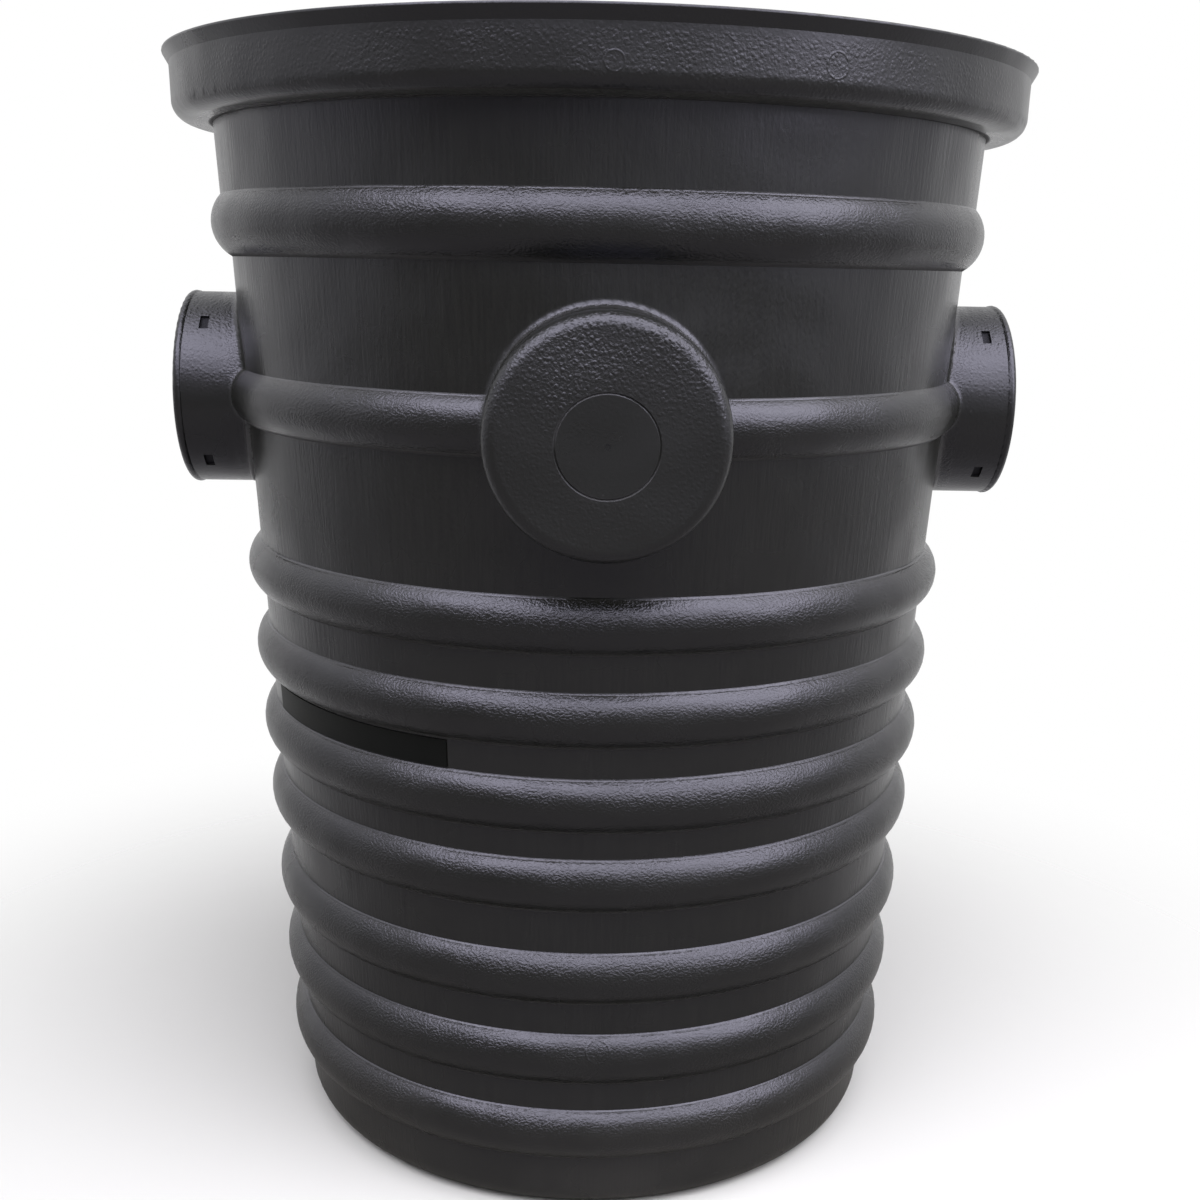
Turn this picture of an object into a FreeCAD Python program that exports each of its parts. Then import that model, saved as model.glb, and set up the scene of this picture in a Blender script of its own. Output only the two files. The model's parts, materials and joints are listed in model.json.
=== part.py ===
"""Moulded sump basin: a tapered, ribbed plastic pit liner with a wide rim that seats a lid, two
open pipe stubs on its sides, one closed knock-out stub at the front, and a blank film label.

Millimetres, +Z up. The origin is at the middle of the underside, the open stubs lie along X and
the closed stub points to -Y.
"""
import FreeCAD, Part
import math
import os
import Sketcher

SIZES = {
    "height": 610.0,
    "wall": 4.5,
    "floor_wall": 5.0,
    # conical wall: radius at the ground and under the rim, and the wider neck above the top rib
    "foot_radius": 174.0,
    "wall_top_radius": 212.9,
    "neck_step": 3.1,
    "foot_round": 15.0,
    # rim: a drafted ring that holds the lid, closed at the top by a thin lip
    "rim_depth": 35.5,
    "rim_radius": 237.7,
    "rim_foot_radius": 236.9,
    "rim_round": 10.0,
    "lip_radius": 241.0,
    "lip_height": 7.0,
    "lip_band": 1.2,
    "lip_round": 0.8,
    # half-round hoop ribs: height of each above the ground, from the rim down
    "rib_chord": 30.0,
    "rib_bulge": 8.0,
    "top_rib_chord": 33.6,
    "top_rib_height": 522.7,
    "third_rib_height": 333.0,
    "fourth_rib_height": 284.5,
    "fifth_rib_height": 239.0,
    "sixth_rib_height": 195.0,
    "seventh_rib_height": 142.0,
    "eighth_rib_height": 94.5,
    "ninth_rib_height": 48.5,
    # open pipe stubs, with a bead round the mouth and four sunk pockets
    "port_height": 429.0,
    "port_radius": 55.0,
    "port_wall": 3.0,
    "port_reach": 237.0,
    "port_fillet": 4.5,
    "bead_round": 3.0,
    "bead_rise": 0.7,
    "pocket_inset": 13.0,
    "pocket_length": 5.0,
    "pocket_width": 9.5,
    "pocket_depth": 2.0,
    "pocket_angle": 45.0,
    # closed stub at the front, with a scored drilling circle
    "boss_height": 427.6,
    "boss_radius": 56.6,
    "boss_reach": 240.0,
    "boss_round": 7.0,
    "score_radius": 23.7,
    "score_width": 1.2,
    "score_depth": 0.6,
    "score_drop": 2.9,
    "centre_mark_radius": 1.5,
    # blank label in the valley between the fourth and fifth ribs, measured round from +X
    "label_margin": 0.5,
    "label_glue": 0.2,
    "label_film": 0.4,
    "label_start_angle": 202.5,
    "label_sweep_angle": 44.0,
}

# every rib by the size that holds its height; the second one runs through the stubs
RIBS = [
    "top_rib_height",
    "port_height",
    "third_rib_height",
    "fourth_rib_height",
    "fifth_rib_height",
    "sixth_rib_height",
    "seventh_rib_height",
    "eighth_rib_height",
    "ninth_rib_height",
]
RIM_UNDERSIDE = "(size.height - size.rim_depth)"
LID_SEAT = "(size.height - size.rim_depth + size.wall)"
WALL_SLOPE = f"((size.wall_top_radius - size.foot_radius) / {RIM_UNDERSIDE})"
POCKETS_PER_PORT = 4
HALF_TURN_ANGLE = 180
FULL_TURN_ANGLE = 360
# each open stub, by the turn about Y that its drawing takes from +X
PORT_TURNS = [("right", 0), ("left", HALF_TURN_ANGLE)]
ABOUT_X = FreeCAD.Vector(1, 0, 0)
ABOUT_Y = FreeCAD.Vector(0, 1, 0)
ABOUT_Z = FreeCAD.Vector(0, 0, 1)
TOLERANCE = 1e-4
# the numbers by which a sketch knows its origin, its axes and the points of an element
ORIGIN_INDEX = (-1, 1)
HORIZONTAL_AXIS_INDEX = -1
VERTICAL_AXIS_INDEX = -2
START_INDEX = 1
END_INDEX = 2
CENTRE_INDEX = 3
# where a new sketch element lies until its constraints place it
SEED_SIZE = SIZES["rib_bulge"]
SEED = FreeCAD.Vector(SIZES["rib_chord"], SIZES["rib_chord"], 0)


def fill_sheet(doc):
    """The driving dimensions, one named cell each."""
    sheet = doc.addObject("Spreadsheet::Sheet", "size")
    for row, (name, value) in enumerate(SIZES.items(), start=1):
        sheet.set(f"A{row}", name)
        sheet.set(f"B{row}", str(value))
        sheet.setAlias(f"B{row}", name)
    doc.recompute()
    return sheet


def wall_radius(height):
    """Formula for the outer radius of the conical wall at a height."""
    return f"(size.foot_radius + {WALL_SLOPE} * ({height}))"


def rib_chord(rib):
    """Formula for a rib's height along the wall."""
    return "size.top_rib_chord" if rib == "top_rib_height" else "size.rib_chord"


def rib_arc(rib):
    """Formula for the radius of a rib's half-round section, from its chord and bulge."""
    return f"(({rib_chord(rib)} ^ 2 / 4 + size.rib_bulge ^ 2) / (2 * size.rib_bulge))"


def rib_centre(rib):
    """Formula for the distance of a rib's section centre from the axis."""
    step = "size.neck_step / 2" if rib == "top_rib_height" else "0"
    return f"({wall_radius('size.' + rib)} + {step} + size.rib_bulge - {rib_arc(rib)})"


def add_sketch(body, name, role, lift=None, turn=None):
    """Sketch on one of the body's own planes, raised by a formula and turned if asked."""
    plane = next(item for item in body.Origin.OriginFeatures if item.Role == role)
    sketch = body.newObject("Sketcher::SketchObject", name)
    sketch.AttachmentSupport = [(plane, "")]
    sketch.MapMode = "FlatFace"
    if turn:
        sketch.AttachmentOffset = FreeCAD.Placement(FreeCAD.Vector(), turn)
    if lift:
        sketch.setExpression("AttachmentOffset.Base.y", lift)
    return sketch


def drive(sketch, kind, elements, name, formula):
    """Add a named constraint whose value follows a formula."""
    index = sketch.addConstraint(Sketcher.Constraint(kind, *elements, SEED_SIZE))
    sketch.renameConstraint(index, name)
    sketch.setExpression(f"Constraints.{name}", formula)


def place_point(sketch, name, point, across, up):
    """Fix a point by formulas from the sketch origin; None puts it on that axis."""
    if across is None:
        sketch.addConstraint(Sketcher.Constraint("PointOnObject", *point, VERTICAL_AXIS_INDEX))
    else:
        drive(sketch, "DistanceX", ORIGIN_INDEX + point, name + "_across", across)
    if up is None:
        sketch.addConstraint(Sketcher.Constraint("PointOnObject", *point, HORIZONTAL_AXIS_INDEX))
    else:
        drive(sketch, "DistanceY", ORIGIN_INDEX + point, name + "_up", up)


def draw_outline(sketch, corners):
    """Closed outline of straight lines through corners given as pairs of formulas."""
    count = len(corners)
    start = [SEED + FreeCAD.Vector(index, index * index, 0) for index in range(count)]
    for index in range(count):
        sketch.addGeometry(Part.LineSegment(start[index], start[(index + 1) % count]))
    for index in range(count):
        joint = (index, END_INDEX, (index + 1) % count, START_INDEX)
        sketch.addConstraint(Sketcher.Constraint("Coincident", *joint))
    for index, (across, up) in enumerate(corners):
        place_point(sketch, f"corner_{index}", (index, START_INDEX), across, up)


def draw_circle(sketch, name, across, up, radius):
    """Circle with its centre and radius set by formulas."""
    index = sketch.addGeometry(Part.Circle(SEED, ABOUT_Z, SEED_SIZE))
    place_point(sketch, name, (index, CENTRE_INDEX), across, up)
    drive(sketch, "Radius", (index,), name + "_radius", radius)


def draw_half_disc(sketch, name, across, up, radius):
    """Half disc that bulges away from the sketch's vertical axis, set by formulas at its centre."""
    circle = Part.Circle(SEED, ABOUT_Z, SEED_SIZE)
    rise = FreeCAD.Vector(0, SEED_SIZE, 0)
    arc = sketch.addGeometry(Part.ArcOfCircle(circle, -math.pi / 2, math.pi / 2))
    chord = sketch.addGeometry(Part.LineSegment(SEED + rise, SEED - rise))
    sketch.addConstraint(Sketcher.Constraint("Coincident", arc, END_INDEX, chord, START_INDEX))
    sketch.addConstraint(Sketcher.Constraint("Coincident", arc, START_INDEX, chord, END_INDEX))
    sketch.addConstraint(Sketcher.Constraint("Vertical", chord))
    sketch.addConstraint(Sketcher.Constraint("PointOnObject", arc, CENTRE_INDEX, chord))
    place_point(sketch, name, (arc, CENTRE_INDEX), across, up)
    drive(sketch, "Radius", (arc,), name + "_radius", radius)


def spin(body, kind, name, sketch, axis, angle=None):
    """Revolution or groove of a sketch about one of its axes."""
    feature = body.newObject(f"PartDesign::{kind}", name)
    feature.Profile = sketch
    feature.ReferenceAxis = (sketch, [axis])
    feature.Angle = FULL_TURN_ANGLE
    if angle:
        feature.setExpression("Angle", angle)
    return feature


def extrude(body, kind, name, sketch, length, both_ways=False, reverse=False):
    """Pad or pocket of a sketch by a formula."""
    feature = body.newObject(f"PartDesign::{kind}", name)
    feature.Profile = sketch
    feature.setExpression("Length", length)
    feature.Midplane = both_ways
    feature.Reversed = reverse
    return feature


def edges_where(shape, test):
    """Names of the edges of a shape that pass a test."""
    return [f"Edge{index}" for index, edge in enumerate(shape.Edges, start=1) if test(edge)]


def level_ring(shape, height):
    """Name of the widest round edge about Z at a height."""
    rings = {}
    for index, edge in enumerate(shape.Edges, start=1):
        box = edge.BoundBox
        level = abs(box.ZMin - height) < TOLERANCE and abs(box.ZMax - height) < TOLERANCE
        if level and isinstance(edge.Curve, Part.Circle):
            rings[edge.Curve.Radius] = f"Edge{index}"
    return rings[max(rings)]


def round_edges(body, name, base, edges, radius):
    """Fillet on named edges of the feature before it."""
    fillet = body.newObject("PartDesign::Fillet", name)
    fillet.Base = (base, edges)
    fillet.setExpression("Radius", radius)
    body.Document.recompute()
    return fillet


def joins_wall(shape, edge):
    """True for an edge where a stub's round side meets the conical wall or a rib."""
    surfaces = [face.Surface for face in shape.ancestorsOfType(edge, Part.Face)]
    stub = any(isinstance(item, Part.Cylinder) and abs(item.Axis.z) < TOLERANCE for item in surfaces)
    wall = any(isinstance(item, (Part.Cone, Part.Toroid)) for item in surfaces)
    return stub and wall


def add_outer_form(body, sheet):
    """Turned outside of the wall, rim and lip, as one full solid with the rim's round edges."""
    doc = body.Document
    section = add_sketch(body, "outer_section", "XZ_Plane")
    step_radius = wall_radius("size.top_rib_height")
    draw_outline(section, [
        (None, None),
        ("size.foot_radius", None),
        (step_radius, "size.top_rib_height"),
        (step_radius + " + size.neck_step", "size.top_rib_height"),
        ("size.wall_top_radius + size.neck_step", RIM_UNDERSIDE),
        ("size.rim_foot_radius", RIM_UNDERSIDE),
        ("size.rim_radius", "size.height - size.lip_height"),
        ("size.lip_radius", "size.height - size.lip_band"),
        ("size.lip_radius", "size.height"),
        (None, "size.height"),
    ])
    form = spin(body, "Revolution", "outer_form", section, "V_Axis")
    doc.recompute()
    underside = sheet.height - sheet.rim_depth
    rim = round_edges(body, "rim_edge", form, [level_ring(form.Shape, underside)], "size.rim_round")
    round_edges(body, "lip_edge", rim, [level_ring(rim.Shape, sheet.height)], "size.lip_round")


def draw_ribs(body, name, thinner):
    """Sketch with the round section of every rib, its radius reduced by a formula."""
    sketch = add_sketch(body, name, "XZ_Plane")
    for rib in RIBS:
        draw_half_disc(sketch, rib, rib_centre(rib), "size." + rib, f"{rib_arc(rib)} - {thinner}")
    return sketch


def add_stubs_and_ribs(body, sheet):
    """All three stubs and the ribs, with the stubs blended into the wall and the ribs."""
    port_round = add_sketch(body, "port_round", "YZ_Plane", "size.port_height")
    draw_circle(port_round, "port", None, None, "size.port_radius")
    # the bead makes the rounded mouth, so the straight part ends at its middle
    straight = "2 * (size.port_reach - size.bead_round)"
    extrude(body, "Pad", "ports", port_round, straight, both_ways=True)
    boss_round = add_sketch(body, "boss_round", "XZ_Plane", "size.boss_height")
    draw_circle(boss_round, "boss", None, None, "size.boss_radius")
    extrude(body, "Pad", "boss", boss_round, "size.boss_reach")
    ribs = spin(body, "Revolution", "ribs", draw_ribs(body, "rib_sections", "0"), "V_Axis")
    body.Document.recompute()
    base_edges = edges_where(ribs.Shape, lambda edge: joins_wall(ribs.Shape, edge))
    bases = round_edges(body, "stub_bases", ribs, base_edges, "size.port_fillet")
    front_edges = edges_where(bases.Shape, lambda edge: edge.BoundBox.YMax < TOLERANCE - sheet.boss_reach)
    round_edges(body, "boss_edge", bases, front_edges, "size.boss_round")
    for side, turn in PORT_TURNS:
        facing = FreeCAD.Rotation(ABOUT_Y, turn)
        bead_section = add_sketch(body, side + "_bead_section", "XZ_Plane", "size.port_height", facing)
        centre = "size.port_radius + size.bead_rise - size.bead_round"
        draw_circle(bead_section, "bead", "size.port_reach - size.bead_round", centre, "size.bead_round")
        spin(body, "Revolution", side + "_bead", bead_section, "H_Axis")


def hollow_out(body, sheet):
    """Inside of the wall, the rib hollows, the pipe bores and the closed stub's hollow."""
    doc = body.Document
    section = add_sketch(body, "inner_section", "XZ_Plane")
    step_radius = wall_radius("size.top_rib_height") + " - size.wall"
    draw_outline(section, [
        (None, "size.floor_wall"),
        (wall_radius("size.floor_wall") + " - size.wall", "size.floor_wall"),
        (step_radius, "size.top_rib_height"),
        (step_radius + " + size.neck_step", "size.top_rib_height"),
        ("size.wall_top_radius + size.neck_step - size.wall", LID_SEAT),
        ("size.rim_foot_radius - size.wall", LID_SEAT),
        ("size.rim_radius - size.wall", "size.height"),
        (None, "size.height"),
    ])
    cavity = spin(body, "Groove", "cavity", section, "V_Axis")
    doc.recompute()
    floor_ring = level_ring(cavity.Shape, sheet.floor_wall)
    floor_edge = round_edges(body, "floor_edge", cavity, [floor_ring], "size.foot_round - size.wall")
    # the foot is rounded after the floor inside, whose corner would else break through it
    foot_ring = level_ring(floor_edge.Shape, 0)
    foot = round_edges(body, "foot_edge", floor_edge, [foot_ring], "size.foot_round")
    seat_ring = level_ring(foot.Shape, sheet.height - sheet.rim_depth + sheet.wall)
    round_edges(body, "seat_edge", foot, [seat_ring], "size.rim_round - size.wall")
    spin(body, "Groove", "rib_hollows", draw_ribs(body, "rib_hollow_sections", "size.wall"), "V_Axis")
    bore_round = add_sketch(body, "bore_round", "YZ_Plane", "size.port_height")
    draw_circle(bore_round, "bore", None, None, "size.port_radius - size.port_wall")
    # the bores are cut from beyond both mouths
    through = "2 * (size.port_reach + size.bead_round)"
    extrude(body, "Pocket", "port_bores", bore_round, through, both_ways=True)
    hollow_round = add_sketch(body, "hollow_round", "XZ_Plane", "size.boss_height")
    draw_circle(hollow_round, "hollow", None, None, "size.boss_radius - size.wall")
    hollow_depth = "size.boss_reach - size.wall"
    hollow = extrude(body, "Pocket", "boss_hollow", hollow_round, hollow_depth, reverse=True)
    doc.recompute()
    depth = sheet.boss_reach - sheet.wall
    end_edges = edges_where(hollow.Shape, lambda edge: abs(edge.BoundBox.YMax + depth) < TOLERANCE)
    round_edges(body, "hollow_edge", hollow, end_edges, "size.boss_round - size.wall")


def sink_pockets(body):
    """Square-cut pockets sunk into the outside of both open stubs."""
    for side, turn in PORT_TURNS:
        tilt = FreeCAD.Rotation(ABOUT_X, SIZES["pocket_angle"])
        facing = FreeCAD.Rotation(ABOUT_Y, turn).multiply(tilt)
        section = add_sketch(body, side + "_pocket_section", "XZ_Plane", "size.port_height", facing)
        mouth_side = "size.port_reach - size.pocket_inset"
        body_side = mouth_side + " - size.pocket_length"
        draw_outline(section, [
            (mouth_side, "size.port_radius - size.pocket_depth"),
            (mouth_side, "size.port_radius + size.pocket_depth"),
            (body_side, "size.port_radius + size.pocket_depth"),
            (body_side, "size.port_radius - size.pocket_depth"),
        ])
        pocket = extrude(body, "Pocket", side + "_pocket", section, "size.pocket_width", both_ways=True)
        body.Document.recompute()
        ring = body.newObject("PartDesign::PolarPattern", side + "_pockets")
        ring.Originals = [pocket]
        ring.Axis = (section, ["H_Axis"])
        ring.Angle = FULL_TURN_ANGLE
        ring.Occurrences = POCKETS_PER_PORT
        body.Tip = ring
        body.Document.recompute()


def score_boss(body):
    """Drilling circle scored as a vee, and a centre mark, on the closed stub's face."""
    middle = "size.boss_height - size.score_drop"
    facing = FreeCAD.Rotation(ABOUT_Y, HALF_TURN_ANGLE)
    vee = add_sketch(body, "score_section", "YZ_Plane", middle, facing)
    draw_outline(vee, [
        ("size.boss_reach - size.score_depth", "size.score_radius"),
        ("size.boss_reach + size.score_depth", "size.score_radius + size.score_width"),
        ("size.boss_reach + size.score_depth", "size.score_radius - size.score_width"),
    ])
    spin(body, "Groove", "score", vee, "H_Axis")
    mark = add_sketch(body, "centre_mark", "XZ_Plane", middle)
    draw_circle(mark, "centre", None, None, "size.centre_mark_radius")
    mark.setExpression("AttachmentOffset.Base.z", "size.boss_reach")
    extrude(body, "Pocket", "centre_mark_cut", mark, "size.score_depth")


def make_basin(doc, sheet):
    """The basin itself, moulded in one piece."""
    body = doc.addObject("PartDesign::Body", "basin")
    body.Label = "basin"
    add_outer_form(body, sheet)
    add_stubs_and_ribs(body, sheet)
    hollow_out(body, sheet)
    sink_pockets(body)
    score_boss(body)
    return body


def make_label(doc):
    """Blank film label, glued to the conical wall between two ribs."""
    body = doc.addObject("PartDesign::Body", "blank_label")
    body.Label = "blank_label"
    section = add_sketch(body, "film_section", "XZ_Plane")
    # the taper lowers the creases above and below the valley by the same amount
    crease_drop = f"{WALL_SLOPE} * ({rib_arc('fourth_rib_height')} - size.rib_bulge)"
    middle = f"(size.fourth_rib_height + size.fifth_rib_height) / 2 - {crease_drop}"
    half = "((size.fourth_rib_height - size.fifth_rib_height - size.rib_chord) / 2 - size.label_margin)"
    low = f"{middle} - {half}"
    high = f"{middle} + {half}"
    back = " + size.label_glue"
    face = " + size.label_glue + size.label_film"
    draw_outline(section, [
        (wall_radius(low) + back, low),
        (wall_radius(low) + face, low),
        (wall_radius(high) + face, high),
        (wall_radius(high) + back, high),
    ])
    spin(body, "Revolution", "film", section, "V_Axis", "size.label_sweep_angle")
    start = FreeCAD.Rotation(ABOUT_Z, SIZES["label_start_angle"])
    body.Placement = FreeCAD.Placement(FreeCAD.Vector(), start)
    body.setExpression("Placement.Rotation.Angle", "size.label_start_angle")
    return body


def write_parts(doc, bodies):
    """Check every object, then write one file per sub-part."""
    doc.recompute()
    for item in doc.Objects:
        if "Invalid" in item.State or "Error" in item.State:
            raise RuntimeError(f"{item.Name} failed: {item.State}")
    for body in bodies:
        if body.Shape.isNull() or not body.Shape.isValid():
            raise RuntimeError(f"{body.Label} has no valid shape")
    os.makedirs("parts", exist_ok=True)
    for body in bodies:
        body.Shape.exportStep(f"parts/{body.Label}.step")
        print(body.Label, "solids", len(body.Shape.Solids), "volume", round(body.Shape.Volume), "mm3")


def main():
    doc = FreeCAD.newDocument("sump_basin")
    sheet = fill_sheet(doc)
    write_parts(doc, [make_basin(doc, sheet), make_label(doc)])


main()
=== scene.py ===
"""Looks of the sump basin: satin black plastic with its moulded skin, a plain studio and the camera."""
import json
import math
from types import SimpleNamespace

import bpy
from mathutils import Matrix, Vector


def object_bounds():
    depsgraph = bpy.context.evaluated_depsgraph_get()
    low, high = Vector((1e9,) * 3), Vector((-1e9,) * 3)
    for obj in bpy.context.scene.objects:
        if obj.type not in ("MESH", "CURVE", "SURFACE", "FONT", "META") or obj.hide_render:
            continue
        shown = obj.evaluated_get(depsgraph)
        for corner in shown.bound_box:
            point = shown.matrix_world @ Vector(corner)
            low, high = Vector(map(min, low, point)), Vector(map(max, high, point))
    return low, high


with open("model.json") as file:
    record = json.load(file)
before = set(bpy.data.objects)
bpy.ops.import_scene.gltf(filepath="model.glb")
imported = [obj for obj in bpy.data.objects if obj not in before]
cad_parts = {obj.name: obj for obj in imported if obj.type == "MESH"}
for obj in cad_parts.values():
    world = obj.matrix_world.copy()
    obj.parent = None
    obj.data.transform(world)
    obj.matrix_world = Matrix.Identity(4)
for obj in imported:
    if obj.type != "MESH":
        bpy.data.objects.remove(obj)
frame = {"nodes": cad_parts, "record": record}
CAD_LOW, CAD_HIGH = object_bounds()

# forms of the solids in metres, for telling the regions of the moulding apart
MILLIMETRE = 0.001
FOOT_RADIUS = 0.174
WALL_SLOPE = 0.0677
NECK_RISE, NECK_STEP = (0.520, 0.538), 0.0031
LIP_HEIGHT = 0.009
LIP_FOOT = CAD_HIGH[2] - LIP_HEIGHT
PLATE_CENTRE, PLATE_RADIUS = (0.0, -0.24, 0.4247), 0.0237
PORT = next(mount for mount in frame["record"]["mounts"] if mount["name"] == "right_port")
STUB_AXIS_HEIGHT = PORT["pos_m"][2]
STUB_BORE = PORT["dims"]["r_mm"] * MILLIMETRE
POCKET_MOUTH, POCKET_FLOOR = 0.0546, 0.0534
POCKET_NEAR, POCKET_FAR = 0.2185, 0.2245

# ranges over which a region sets in, by how far a point stands proud of the plain wall in metres
RIB_STARTS = (-0.0002, 0.0002)
PEBBLES_START = (0.0004, 0.0012)
STUBS_START = (0.008, 0.011)
CREASE_ENDS = (0.003, 0.0006)
LEDGE_ENDS = (0.004, 0.001)
RIB_UNDERSIDE_ENDS = (0.0052, 0.0014)
HIGHLIGHT_LINE_PROUD, HIGHLIGHT_LINE_FADE = 0.0004, (0.0006, 0.0002)
GROOVE_LINE, GROOVE_HALF_WIDTH = 0.0012, 0.0005

# ranges by the height above the ground, or the distance to one side or from a middle, in metres
GROUND_DUST_ENDS = (0.10, 0.0)
PIMPLES_RISE, PIMPLES_FALL = (0.42, 0.47), (0.49, 0.55)
RIM_STARTS = (0.56, 0.57)
SKIN_FADES_ON_LIP = (LIP_FOOT, LIP_FOOT - 0.002)
SIDE_STUBS_START = (0.14, 0.19)
PLATE_ENDS = (PLATE_RADIUS - 0.002, PLATE_RADIUS + 0.002)
SCORE_FADES = (0.0008, 0.0004)
OUTSIDE_BORE = (STUB_BORE + 0.0002, STUB_BORE + 0.0007)
POCKET_BLUR = 0.0004

# ranges by the upward part of a face's normal
FACES_UP = (0.3, 0.45)
FACES_DOWN = (-0.15, -0.4)
FACES_STRAIGHT_DOWN = (-0.7, -0.95)

# the black plastic's skin: scales in cells for each metre, ranges of a noise, heights in millimetres
CRINKLE_SCALE, CRINKLE_RANGE, CRINKLE_HEIGHT = 700.0, (0.34, 0.66), 0.13
PIMPLE_SCALE, PIMPLE_HEIGHT = 440.0, 0.22
PIMPLE_EDGE, PIMPLE_TOP = 0.6, 0.1
FINE_SCALE, FINE_RANGE, FINE_HEIGHT = 850.0, (0.4, 0.68), 0.1
STREAK_SCALE, STREAK_HEIGHT = 420.0, 0.2
GRAIN_SCALE, GRAIN_HEIGHT = 800.0, 0.1
SWAY_SCALE = 34.0
GROOVE_DEPTH, BREAK_SCALE, BREAK_RANGE = 0.12, 16.0, (0.35, 0.65)
RING_HEIGHT, RING_HALF_WIDTH = 0.1, 0.0008
FLATTENED, UPRIGHT = (1.0, 1.0, 1.3), (1.0, 1.0, 0.4)
STREAK_ROUND, STREAK_UP = 0.2, 0.06

# shares of the skin's height that a region or a patch has
PIMPLES_LOW, PIMPLES_FULL, PIMPLES_ON_RIM = 0.3, 1.25, 0.38
PIMPLES_ON_SIDE_STUBS, PIMPLES_ON_PLATE = 0.6, 0.25
SKIN_ON_LIP = 0.4
PATCH_SCALE, PATCH_RANGE, PATCH_LEAST = 24.0, (0.36, 0.6), 0.6

# rings that the mould's plugs leave in the skin: place, ring radius
PLUG_RINGS = [
    ((0.0, -0.2373, 0.5871), 0.0043),
    ((0.0982, -0.2160, 0.5902), 0.0056),
    ((-0.0012, -0.2005, 0.2924), 0.0016),
    ((0.0014, -0.1912, 0.1565), 0.0016),
    ((0.0023, -0.1875, 0.1020), 0.0062),
]

# wear, painted light and shade, and colours of the black plastic
CLOUD_SCALE = 11.0
HATCH_SCALE, HATCH_RANGE = 640.0, (0.35, 0.65)
NICK_SCALE, NICK_RANGE = 130.0, (0.74, 0.8)
SCORE_SCALE, SCORE_RANGE, SCORE_LEAST = 30.0, (0.4, 0.6), 0.2
DUST_RANGE, DUST_LEAST = (0.3, 0.72), 0.35
LEAST_ROUGHNESS, CLOUD_ROUGHNESS, PIMPLE_ROUGHNESS, DULL_SPOT_ROUGHNESS = 0.19, 0.16, 0.1, 0.5
LEDGE_DUST = 0.6
DEEP_BLACK, PALER_BLACK = (0.0062, 0.0065, 0.0045, 1.0), (0.0092, 0.0096, 0.0068, 1.0)
HATCH_GREY = (0.014, 0.0145, 0.011, 1.0)
GROUND_DUST = (0.05, 0.047, 0.041, 1.0)
NICK_GREY = (0.09, 0.09, 0.09, 1.0)
# painted light that lifts the shade in the creases under the ribs; the same paler colour goes on the scored
# circle and on the dust on the ledges
CREASE_LIGHT_AND_DUST = (0.035, 0.034, 0.031, 1.0)
# painted light: a paler colour under the rim that lifts its shade
RIM_UNDERSIDE_PAINTED_LIGHT = (0.07, 0.069, 0.064, 1.0)
# painted light: a paler colour under the ribs that lifts their shade
RIB_UNDERSIDE_PAINTED_LIGHT = (0.045, 0.044, 0.04, 1.0)
# painted highlight: a pale line along the ribs' upper edges
HIGHLIGHT_LINE_GREY = (0.08, 0.08, 0.085, 1.0)
# painted shade: near black in the sunk pockets
POCKET_PAINTED_SHADE = (0.002, 0.002, 0.002, 1.0)
PLASTIC_TINT, PLASTIC_SHINE, PLASTIC_IOR = (0.84, 0.83, 1.0, 1.0), 0.66, 1.52

# the film label
FILM_WRINKLE_SCALE, FILM_WRINKLE_HEIGHT, FILM_SPECK_SCALE = 90.0, 0.08, 1500.0
FILM_ROUGHNESS, FILM_SPECK_ROUGHNESS, FILM_SHINE = 0.42, 0.15, 0.15
FILM_BLACK, FILM_PALER = (0.0035, 0.004, 0.0038, 1.0), (0.0055, 0.006, 0.0057, 1.0)

# faces that bend by more degrees than this meet at a true edge, and points nearer in metres are one
TRUE_EDGE, TRUE_EDGE_ON_LIP = 38.0, 20.0
SAME_POINT = 1e-6

# the studio: sizes and places in metres, and plain greys
FLOOR_SIZE, FLOOR_HEIGHT, FLOOR_FADES = 6.0, -0.0002, (0.2, 0.7)
FLOOR_TONE_SCALE, FLOOR_TONES = 3.0, ((0.79, 0.79, 0.76, 1.0), (0.81, 0.81, 0.78, 1.0))
FLOOR_CARD_SIZE, FLOOR_CARD_HEIGHT = 5.0, 0.001
FLOOR_CARD_GREY, FLOOR_CARD_BEHIND = (0.22, 0.212, 0.193, 1.0), 0.2
FLOOR_CARD_THINS = (math.radians(45.0), math.radians(160.0))
RING_CARD_GREY = (0.24, 0.23, 0.212, 1.0)
RING_CARD_RADIUS, RING_CARD_FOOT, RING_CARD_TOP, RING_CARD_SIDES = 2.1, -0.05, 2.0, 96
RING_CARD_EDGE = (-0.2, 0.2)
AMBIENT_STRENGTH = 0.15
LAMP_TINT = (0.955, 0.94, 1.0)
OVERHEAD_AIM, RIGHT_AIM = (0.24, -0.13, 0.36), (0.0, -0.2, 0.35)

# the ring card by direction in degrees from the front: how densely it covers, and its height in metres
RING_COVER = {
    -180: (0.1, 1.0), -150: (0.2, 1.0), -120: (0.35, 1.0), -90: (0.45, 1.0),
    -60: (0.7, 1.0), -40: (0.9, 1.7), -30: (0.9, 1.8), -15: (0.85, 1.6),
    0: (0.7, 1.2), 30: (0.5, 1.0), 50: (0.45, 0.9), 75: (0.4, 0.9),
    95: (0.35, 1.0), 120: (0.2, 1.0), 150: (0.15, 1.0), 180: (0.1, 1.0),
}


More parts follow.
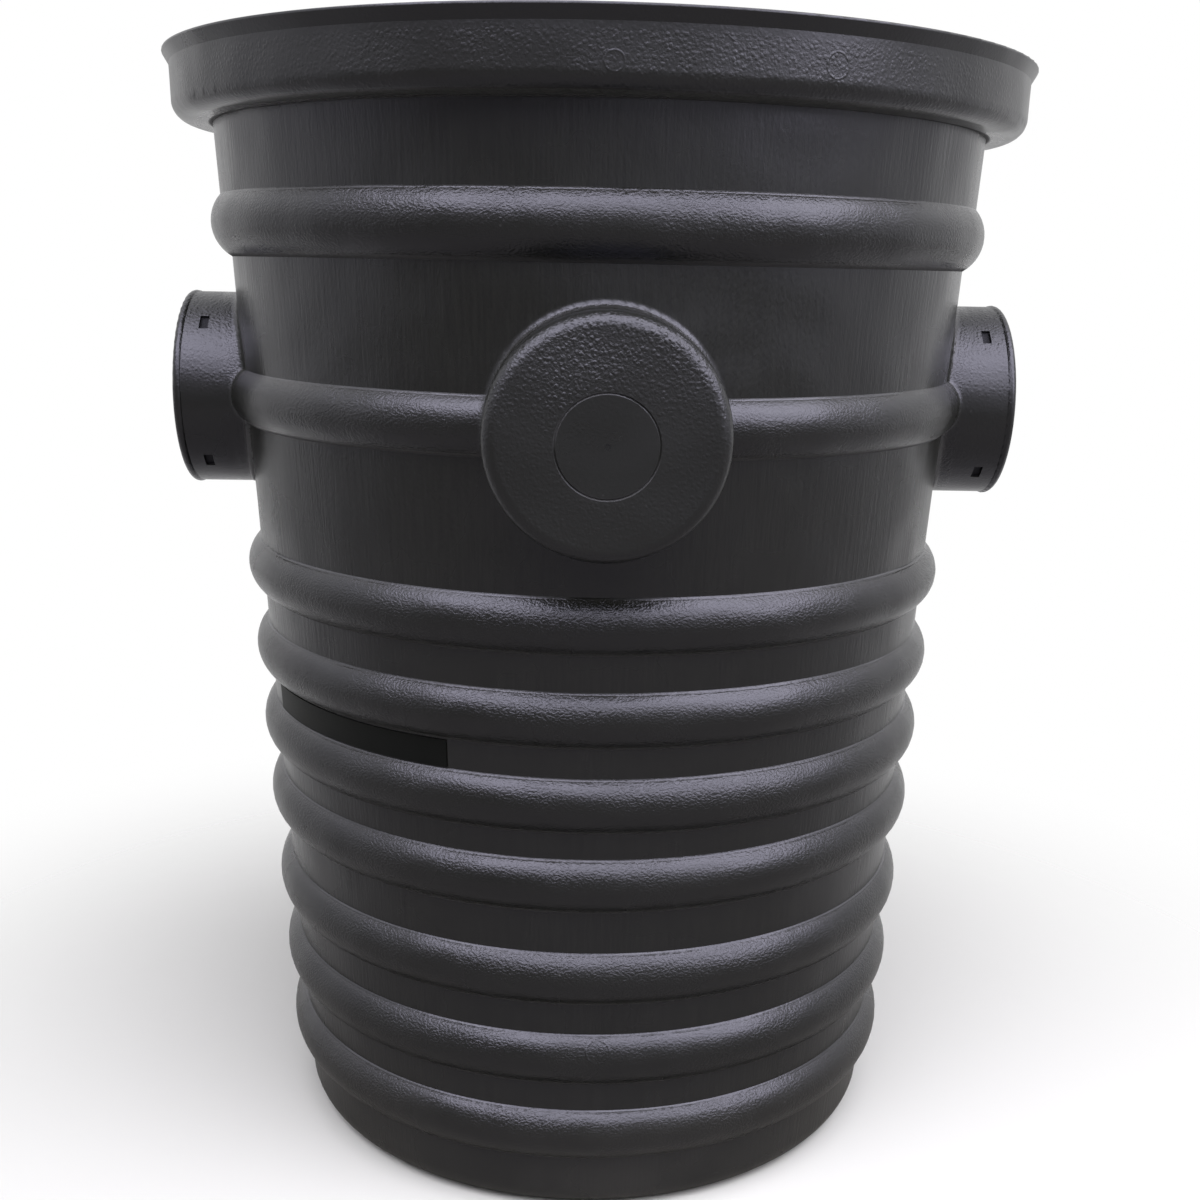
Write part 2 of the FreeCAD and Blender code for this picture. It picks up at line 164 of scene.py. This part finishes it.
class Nodes:
    """Short calls for building a node tree."""

    def __init__(self, tree):
        self.tree = tree
        tree.nodes.clear()

    def add(self, kind, **settings):
        node = self.tree.nodes.new(kind)
        for name, value in settings.items():
            setattr(node, name, value)
        return node

    def feed(self, socket, value):
        """Link an output socket, or set a plain value."""
        if isinstance(value, bpy.types.NodeSocket):
            self.tree.links.new(value, socket)
        else:
            socket.default_value = value

    def math(self, operation, *values):
        node = self.add("ShaderNodeMath", operation=operation)
        for socket, value in zip(node.inputs, values):
            self.feed(socket, value)
        return node.outputs[0]

    def plus(self, first, *others):
        for other in others:
            first = self.math("ADD", first, other)
        return first

    def minus(self, first, second):
        return self.math("SUBTRACT", first, second)

    def times(self, first, *others):
        for other in others:
            first = self.math("MULTIPLY", first, other)
        return first

    def off(self, value, middle):
        """How far a value is from a middle one, either way."""
        return self.math("ABSOLUTE", self.minus(value, middle))

    def length(self, across, along):
        """Length of a flat vector."""
        return self.math("SQRT", self.plus(self.times(across, across), self.times(along, along)))

    def turn(self, x, y):
        """Angle round the upright axis, counted from the front."""
        return self.math("ARCTAN2", x, self.times(y, -1.0))

    def vector(self, operation, *values):
        node = self.add("ShaderNodeVectorMath", operation=operation)
        for socket, value in zip(node.inputs, values):
            self.feed(socket, value)
        return node.outputs["Value" if operation in ("LENGTH", "DISTANCE") else "Vector"]

    def split(self, vector):
        node = self.add("ShaderNodeSeparateXYZ")
        self.feed(node.inputs[0], vector)
        return node.outputs

    def combine(self, x, y, z):
        node = self.add("ShaderNodeCombineXYZ")
        for socket, value in zip(node.inputs, (x, y, z)):
            self.feed(socket, value)
        return node.outputs[0]

    def place(self):
        """Place of a point in the object's own metres."""
        return self.add("ShaderNodeTexCoord").outputs["Object"]

    def noise(self, place, scale, detail, roughness=0.5):
        node = self.add("ShaderNodeTexNoise")
        self.feed(node.inputs["Vector"], place)
        node.inputs["Scale"].default_value = scale
        node.inputs["Detail"].default_value = detail
        node.inputs["Roughness"].default_value = roughness
        return node.outputs[0]

    def dots(self, place, scale, edge, top):
        """Round dots, about one for each cell, between two distances from a cell's middle."""
        node = self.add("ShaderNodeTexVoronoi")
        self.feed(node.inputs["Vector"], place)
        node.inputs["Scale"].default_value = scale
        return self.step(node.outputs["Distance"], (edge, top))

    def step(self, value, between, to=(0.0, 1.0)):
        """Smooth step from one range of numbers to another."""
        node = self.add("ShaderNodeMapRange", interpolation_type="SMOOTHSTEP")
        self.feed(node.inputs["Value"], value)
        for name, number in zip(("From Min", "From Max", "To Min", "To Max"), (*between, *to)):
            node.inputs[name].default_value = number
        return node.outputs[0]

    def mix_colour(self, factor, first, second):
        node = self.add("ShaderNodeMix", data_type="RGBA")
        self.feed(node.inputs["Factor"], factor)
        self.feed(node.inputs["A"], first)
        self.feed(node.inputs["B"], second)
        return node.outputs["Result"]


def new_material(name):
    material = bpy.data.materials.new(name)
    material.use_nodes = True
    nodes = Nodes(material.node_tree)
    shader = nodes.add("ShaderNodeBsdfPrincipled")
    output = nodes.add("ShaderNodeOutputMaterial")
    nodes.feed(output.inputs["Surface"], shader.outputs[0])
    return material, nodes, shader


def raise_skin(nodes, shader, height):
    """Shade the surface by a height in millimetres."""
    bump = nodes.add("ShaderNodeBump")
    bump.inputs["Strength"].default_value = 1.0
    bump.inputs["Distance"].default_value = MILLIMETRE
    nodes.feed(bump.inputs["Height"], height)
    nodes.feed(shader.inputs["Normal"], bump.outputs[0])


def find_regions(nodes):
    """Where a point lies on the moulding, and which way its face looks."""
    at = SimpleNamespace(place=nodes.place())
    at.x, at.y, at.z = nodes.split(at.place)
    at.aside = nodes.math("ABSOLUTE", at.x)
    neck = nodes.step(at.z, NECK_RISE, to=(0.0, NECK_STEP))
    wall = nodes.plus(nodes.times(at.z, WALL_SLOPE), FOOT_RADIUS, neck)
    at.proud = nodes.minus(nodes.length(at.x, at.y), wall)
    at.pebbled = nodes.step(at.proud, PEBBLES_START)
    at.plain = nodes.minus(1.0, at.pebbled)
    at.thick = nodes.step(at.proud, STUBS_START)
    at.off_plate = nodes.vector("DISTANCE", at.place, PLATE_CENTRE)
    facing = nodes.split(nodes.add("ShaderNodeNewGeometry").outputs["True Normal"])[2]
    at.upper = nodes.step(facing, FACES_UP)
    at.under = nodes.step(facing, FACES_DOWN)
    at.flat_under = nodes.step(facing, FACES_STRAIGHT_DOWN)
    return at


def add_textures(nodes, at):
    """Textures that the height, the gloss and the colour share."""
    at.flattened = nodes.vector("MULTIPLY", at.place, FLATTENED)
    at.broken = nodes.step(nodes.noise(at.flattened, BREAK_SCALE, detail=3.0), BREAK_RANGE)
    at.cloud = nodes.noise(at.place, CLOUD_SCALE, detail=3.0, roughness=0.6)
    round_wall = nodes.times(nodes.turn(at.x, at.y), STREAK_ROUND)
    at.strip = nodes.combine(round_wall, 0.0, nodes.times(at.z, STREAK_UP))
    worn_plate = nodes.step(at.off_plate, PLATE_ENDS, to=(PIMPLES_ON_PLATE, 1.0))
    by_height = nodes.times(nodes.step(at.z, PIMPLES_RISE, to=(PIMPLES_LOW, PIMPLES_FULL)),
                            nodes.step(at.z, PIMPLES_FALL, to=(1.0, PIMPLES_ON_RIM)))
    by_side = nodes.step(at.aside, SIDE_STUBS_START, to=(1.0, PIMPLES_ON_SIDE_STUBS))
    at.coarse = nodes.times(worn_plate, by_height, by_side)


def add_marks_and_painted_light(nodes, at):
    """Painted shade in the sunk pockets; the lower creases of the ribs and the scored circle, duller and
    paler, which in the creases is painted light lifting the shade; dust on the ledges.
    """
    # the sunk pockets on the stubs, painted near black as shade, and duller
    stub_radius = nodes.length(at.y, nodes.minus(at.z, STUB_AXIS_HEIGHT))
    sunk = nodes.times(nodes.step(stub_radius, (POCKET_MOUTH, POCKET_FLOOR)),
                       nodes.step(stub_radius, OUTSIDE_BORE))
    along = nodes.times(nodes.step(at.aside, (POCKET_NEAR - POCKET_BLUR, POCKET_NEAR)),
                        nodes.step(at.aside, (POCKET_FAR + POCKET_BLUR, POCKET_FAR)))
    at.dirty = nodes.times(sunk, along)
    # the lower creases of the ribs: duller, and with painted light that lifts their shade
    crease = nodes.times(at.under, nodes.step(at.proud, CREASE_ENDS), nodes.step(at.proud, RIB_STARTS))
    score_breaks = nodes.noise(at.place, SCORE_SCALE, detail=2.0)
    scored = nodes.times(nodes.step(nodes.off(at.off_plate, PLATE_RADIUS), SCORE_FADES),
                         nodes.step(score_breaks, SCORE_RANGE, to=(SCORE_LEAST, 1.0)))
    ledge = nodes.times(at.upper, at.pebbled, nodes.step(at.proud, LEDGE_ENDS))
    at.scuffed = nodes.math("MAXIMUM", crease, scored)
    at.dusty = nodes.math("MAXIMUM", at.scuffed, nodes.times(ledge, LEDGE_DUST))


def skin_height(nodes, at):
    """Crinkles on the ribs, pimples on the rim and the stubs, hairlines on the plain wall."""
    crinkle = nodes.noise(at.flattened, CRINKLE_SCALE, detail=2.0)
    crinkle = nodes.step(crinkle, CRINKLE_RANGE, to=(0.0, CRINKLE_HEIGHT))
    fine = nodes.noise(at.place, FINE_SCALE, detail=1.0)
    fine = nodes.step(fine, FINE_RANGE, to=(0.0, FINE_HEIGHT))
    dots = nodes.times(nodes.dots(at.place, PIMPLE_SCALE, PIMPLE_EDGE, PIMPLE_TOP), PIMPLE_HEIGHT)
    pimple = nodes.times(nodes.plus(dots, fine), at.coarse)
    rough = nodes.plus(nodes.times(nodes.minus(1.0, at.thick), crinkle), nodes.times(at.thick, pimple))
    below_lip = nodes.step(at.z, SKIN_FADES_ON_LIP, to=(SKIN_ON_LIP, 1.0))
    patches = nodes.noise(at.place, PATCH_SCALE, detail=1.0)
    patches = nodes.step(patches, PATCH_RANGE, to=(PATCH_LEAST, 1.0))
    streak = nodes.noise(at.strip, STREAK_SCALE, detail=2.0, roughness=0.6)
    upright = nodes.vector("MULTIPLY", at.place, UPRIGHT)
    grain = nodes.noise(upright, GRAIN_SCALE, detail=1.0)
    hairs = nodes.plus(nodes.times(streak, STREAK_HEIGHT), nodes.times(grain, GRAIN_HEIGHT))
    sway = nodes.noise(at.place, SWAY_SCALE, detail=0.0)
    skin = nodes.times(rough, at.pebbled, below_lip, patches)
    return nodes.plus(skin, nodes.times(hairs, at.plain), sway)


def mark_height(nodes, at):
    """Worn groove along the upper edge of each rib, where the mould halves met, and the plugs' rings."""
    off_groove = nodes.off(at.proud, GROOVE_LINE)
    groove = nodes.step(off_groove, (GROOVE_HALF_WIDTH, 0.0), to=(0.0, -GROOVE_DEPTH))
    height = nodes.times(groove, at.upper, at.broken)
    for centre, ring in PLUG_RINGS:
        off_ring = nodes.off(nodes.vector("DISTANCE", at.place, centre), ring)
        height = nodes.plus(height, nodes.step(off_ring, (RING_HALF_WIDTH, 0.0), to=(0.0, RING_HEIGHT)))
    return height


def plastic_roughness(nodes, at):
    """Uneven from handling, duller on the pimples, in the pockets, in the creases under the ribs and along
    the scored circle.
    """
    handled = nodes.plus(nodes.times(at.cloud, CLOUD_ROUGHNESS), LEAST_ROUGHNESS)
    dull_spots = nodes.times(nodes.math("MAXIMUM", at.dirty, at.scuffed), DULL_SPOT_ROUGHNESS)
    return nodes.plus(handled, dull_spots, nodes.times(at.thick, at.coarse, PIMPLE_ROUGHNESS))


def plastic_colour(nodes, at):
    """Black, hatched on the wall, with dust near the ground and on the ledges, pale nicks, paler along the
    scored circle, painted light lifting the shade in the creases and under the rim and the ribs, a painted
    highlight line along the ribs' upper edges and painted shade in the pockets.
    """
    hatch = nodes.noise(at.strip, HATCH_SCALE, detail=2.0, roughness=0.6)
    hatch = nodes.times(nodes.step(hatch, HATCH_RANGE), at.plain)
    ground_dust = nodes.times(nodes.step(at.cloud, DUST_RANGE, to=(DUST_LEAST, 1.0)),
                              nodes.step(at.z, GROUND_DUST_ENDS))
    nicks = nodes.noise(at.place, NICK_SCALE, detail=2.0)
    nicks = nodes.times(nodes.step(nicks, NICK_RANGE), at.pebbled)
    # painted light on the flat underside of the rim, lifting its shade
    rim_underside = nodes.times(at.flat_under, nodes.step(at.z, RIM_STARTS))
    # painted light on the undersides of the ribs, lifting their shade
    rib_underside = nodes.times(at.under, nodes.step(at.proud, RIB_UNDERSIDE_ENDS),
                                nodes.step(at.proud, RIB_STARTS))
    # painted highlight: a pale line on upward faces along the ribs' upper edges
    painted_highlight_line = nodes.times(nodes.step(nodes.off(at.proud, HIGHLIGHT_LINE_PROUD), HIGHLIGHT_LINE_FADE), at.upper, at.broken)
    layers = [
        (hatch, 0.6, HATCH_GREY),
        (ground_dust, 0.36, GROUND_DUST),
        (nicks, 0.5, NICK_GREY),
        (at.dusty, 0.7, CREASE_LIGHT_AND_DUST),
        (rim_underside, 0.9, RIM_UNDERSIDE_PAINTED_LIGHT),
        (rib_underside, 0.9, RIB_UNDERSIDE_PAINTED_LIGHT),
        (painted_highlight_line, 0.6, HIGHLIGHT_LINE_GREY),
        (at.dirty, 1.0, POCKET_PAINTED_SHADE),
    ]
    colour = nodes.mix_colour(at.cloud, DEEP_BLACK, PALER_BLACK)
    for mask, strength, paint in layers:
        colour = nodes.mix_colour(nodes.times(mask, strength), colour, paint)
    return colour


def black_plastic():
    """Satin moulded black plastic: pebbled on all that stands proud, hairlines on the plain wall."""
    material, nodes, shader = new_material("black_plastic")
    at = find_regions(nodes)
    add_textures(nodes, at)
    add_marks_and_painted_light(nodes, at)
    raise_skin(nodes, shader, nodes.plus(skin_height(nodes, at), mark_height(nodes, at)))
    nodes.feed(shader.inputs["Roughness"], plastic_roughness(nodes, at))
    nodes.feed(shader.inputs["Base Color"], plastic_colour(nodes, at))
    shader.inputs["Specular IOR Level"].default_value = PLASTIC_SHINE
    shader.inputs["Specular Tint"].default_value = PLASTIC_TINT
    shader.inputs["IOR"].default_value = PLASTIC_IOR
    return material


def label_film():
    """Plain dark film with faint wrinkles."""
    material, nodes, shader = new_material("label_film")
    place = nodes.place()
    wrinkle = nodes.noise(place, FILM_WRINKLE_SCALE, detail=3.0)
    speck = nodes.times(nodes.noise(place, FILM_SPECK_SCALE, detail=2.0), FILM_SPECK_ROUGHNESS)
    raise_skin(nodes, shader, nodes.times(wrinkle, FILM_WRINKLE_HEIGHT))
    nodes.feed(shader.inputs["Roughness"], nodes.plus(speck, FILM_ROUGHNESS))
    nodes.feed(shader.inputs["Base Color"], nodes.mix_colour(wrinkle, FILM_BLACK, FILM_PALER))
    shader.inputs["Specular IOR Level"].default_value = FILM_SHINE
    return material


def shade_evenly(node):
    """Split the mesh at its true edges and shade by face area between them."""
    tree = bpy.data.node_groups.new("true_edges", "GeometryNodeTree")
    for way in ("INPUT", "OUTPUT"):
        tree.interface.new_socket("Geometry", in_out=way, socket_type="NodeSocketGeometry")
    nodes = Nodes(tree)
    merge = nodes.add("GeometryNodeMergeByDistance")
    merge.inputs["Distance"].default_value = SAME_POINT
    nodes.feed(merge.inputs["Geometry"], nodes.add("NodeGroupInput").outputs[0])
    height = nodes.split(nodes.add("GeometryNodeInputPosition").outputs[0])[2]
    on_lip = nodes.math("GREATER_THAN", height, LIP_FOOT)
    less_on_lip = nodes.times(on_lip, math.radians(TRUE_EDGE_ON_LIP - TRUE_EDGE))
    limit = nodes.plus(less_on_lip, math.radians(TRUE_EDGE))
    bend = nodes.add("GeometryNodeInputMeshEdgeAngle").outputs["Unsigned Angle"]
    cut = nodes.add("GeometryNodeSplitEdges")
    nodes.feed(cut.inputs["Mesh"], merge.outputs["Geometry"])
    nodes.feed(cut.inputs["Selection"], nodes.math("GREATER_THAN", bend, limit))
    smooth = nodes.add("GeometryNodeSetShadeSmooth")
    nodes.feed(smooth.inputs["Geometry"], cut.outputs["Mesh"])
    nodes.feed(nodes.add("NodeGroupOutput").inputs[0], smooth.outputs["Geometry"])
    node.modifiers.new("true_edges", "NODES").node_group = tree
    node.modifiers.new("even_shading", "WEIGHTED_NORMAL")


def dress(node, material):
    node.data.materials.clear()
    node.data.materials.append(material)


def add_stage(name, corners, faces):
    """Mesh of the studio, which isn't part of the object."""
    mesh = bpy.data.meshes.new(name)
    mesh.from_pydata(corners, [], faces)
    piece = bpy.data.objects.new(name, mesh)
    bpy.context.scene.collection.objects.link(piece)
    return piece


def add_square(name, size, height):
    half = size / 2
    corners = [(-half, -half, 0), (half, -half, 0), (half, half, 0), (-half, half, 0)]
    square = add_stage(name, corners, [(0, 1, 2, 3)])
    square.location = (0, 0, height)
    return square


def add_floor():
    """Pale floor that keeps the shadow and fades into the white surroundings."""
    floor = add_square("floor", FLOOR_SIZE, FLOOR_HEIGHT)
    material, nodes, shader = new_material("floor")
    place = nodes.place()
    tone = nodes.mix_colour(nodes.noise(place, FLOOR_TONE_SCALE, detail=2.0), *FLOOR_TONES)
    nodes.feed(shader.inputs["Base Color"], tone)
    away = nodes.vector("LENGTH", place)
    nodes.feed(shader.inputs["Alpha"], nodes.step(away, FLOOR_FADES, to=(1.0, 0.0)))
    shader.inputs["Roughness"].default_value = 0.9
    shader.inputs["Specular IOR Level"].default_value = 0.1
    dress(floor, material)


def new_card_material(card, grey):
    """Matte grey for a studio card, which shows in reflections only."""
    card.visible_camera = False
    card.visible_diffuse = False
    card.visible_shadow = False
    card.visible_transmission = False
    material, nodes, shader = new_material(card.name)
    shader.inputs["Base Color"].default_value = grey
    shader.inputs["Roughness"].default_value = 1.0
    shader.inputs["Specular IOR Level"].default_value = 0.0
    dress(card, material)
    return nodes, shader


def add_floor_card():
    """Grey card lying round the part, as a photographer flags a black object on a white floor."""
    card = add_square("floor_card", FLOOR_CARD_SIZE, FLOOR_CARD_HEIGHT)
    nodes, shader = new_card_material(card, FLOOR_CARD_GREY)
    x, y, _ = nodes.split(nodes.place())
    turn = nodes.turn(nodes.math("ABSOLUTE", x), y)
    nodes.feed(shader.inputs["Alpha"], nodes.step(turn, FLOOR_CARD_THINS, to=(1.0, FLOOR_CARD_BEHIND)))


def ring_shape():
    """Corners and faces of an upright ring."""
    corners = []
    faces = []
    for index in range(RING_CARD_SIDES):
        angle = 2 * math.pi * index / RING_CARD_SIDES
        x, y = RING_CARD_RADIUS * math.sin(angle), -RING_CARD_RADIUS * math.cos(angle)
        corners += [(x, y, RING_CARD_FOOT), (x, y, RING_CARD_TOP)]
        here, after = 2 * index, 2 * ((index + 1) % RING_CARD_SIDES)
        faces.append((here, after, after + 1, here + 1))
    return corners, faces


def add_ring_card():
    """Grey card standing round the part, denser in front, open to the white surroundings at the sides."""
    card = add_stage("ring_card", *ring_shape())
    nodes, shader = new_card_material(card, RING_CARD_GREY)
    x, y, z = nodes.split(nodes.place())
    ramp = nodes.add("ShaderNodeValToRGB")
    nodes.feed(ramp.inputs[0], nodes.plus(nodes.times(nodes.turn(x, y), 0.5 / math.pi), 0.5))
    stops = ramp.color_ramp.elements
    stops[0].position, stops[1].position = 0.0, 1.0
    for degrees in RING_COVER:
        if abs(degrees) < 180:
            stops.new(degrees / 360 + 0.5)
    for stop in stops:
        cover, height = RING_COVER[round((stop.position - 0.5) * 360)]
        stop.color = (cover, height / RING_CARD_TOP, 0.0, 1.0)
    shares = nodes.add("ShaderNodeSeparateColor")
    nodes.feed(shares.inputs[0], ramp.outputs[0])
    cover, height = shares.outputs[0], nodes.times(shares.outputs[1], RING_CARD_TOP)
    fade = nodes.step(nodes.minus(height, z), RING_CARD_EDGE)
    nodes.feed(shader.inputs["Alpha"], nodes.times(cover, fade))


def add_world():
    """White where the camera, a reflection or a see-through path meets it, and a low light elsewhere."""
    world = bpy.data.worlds.new("studio")
    bpy.context.scene.world = world
    world.use_nodes = True
    nodes = Nodes(world.node_tree)
    path = nodes.add("ShaderNodeLightPath")
    seen = nodes.math("MAXIMUM", path.outputs["Is Camera Ray"], path.outputs["Is Glossy Ray"])
    seen = nodes.math("MAXIMUM", seen, path.outputs["Is Transmission Ray"])
    mix = nodes.add("ShaderNodeMixShader")
    nodes.feed(mix.inputs[0], seen)
    for socket, strength in zip(mix.inputs[1:], (AMBIENT_STRENGTH, 1.0)):
        light = nodes.add("ShaderNodeBackground")
        light.inputs["Color"].default_value = (1.0, 1.0, 1.0, 1.0)
        light.inputs["Strength"].default_value = strength
        nodes.feed(socket, light.outputs[0])
    output = nodes.add("ShaderNodeOutputWorld")
    nodes.feed(output.inputs["Surface"], mix.outputs[0])


def add_lamp(name, place, aim, width, depth, watts):
    lamp = bpy.data.lights.new(name, "AREA")
    lamp.shape = "RECTANGLE"
    lamp.size, lamp.size_y = width, depth
    lamp.energy = watts
    lamp.color = LAMP_TINT
    holder = bpy.data.objects.new(name, lamp)
    holder.visible_camera = False
    holder.location = place
    holder.rotation_mode = "QUATERNION"
    holder.rotation_quaternion = (Vector(aim) - Vector(place)).to_track_quat("-Z", "Y")
    bpy.context.scene.collection.objects.link(holder)


def add_camera():
    """Camera at the viewing angle that a fit to the ribs and the outline gives."""
    distance, height, around = 0.9001, 0.5021, -0.0218
    pitch, yaw, roll = 0.218, 0.0189, 0.021
    data = bpy.data.cameras.new("camera")
    data.sensor_width = 36.0
    data.lens = 44.95
    data.shift_x = -0.0174
    camera = bpy.data.objects.new("camera", data)
    turn = Matrix.Rotation(around - yaw, 4, "Z") @ Matrix.Rotation(math.pi / 2 - pitch, 4, "X")
    turn = turn @ Matrix.Rotation(roll, 4, "Z")
    spot = Vector((math.sin(around) * distance, -math.cos(around) * distance, height))
    camera.matrix_world = Matrix.Translation(spot) @ turn
    bpy.context.scene.collection.objects.link(camera)
    bpy.context.scene.camera = camera


shade_evenly(frame["nodes"]["basin"])
dress(frame["nodes"]["basin"], black_plastic())
dress(frame["nodes"]["blank_label"], label_film())
add_floor()
add_floor_card()
add_ring_card()
add_world()
add_lamp("overhead_softbox", place=(0.32, -0.8, 1.7), aim=OVERHEAD_AIM, width=4.1, depth=2.24, watts=69.0)
add_lamp("overhead_strip", place=(0.32, -0.79, 1.68), aim=OVERHEAD_AIM, width=4.1, depth=0.8, watts=23.0)
add_lamp("right_softbox", place=(1.66, -1.16, 1.08), aim=RIGHT_AIM, width=1.0, depth=0.5, watts=4.55)
add_camera()
bpy.context.scene.view_settings.view_transform = "Standard"
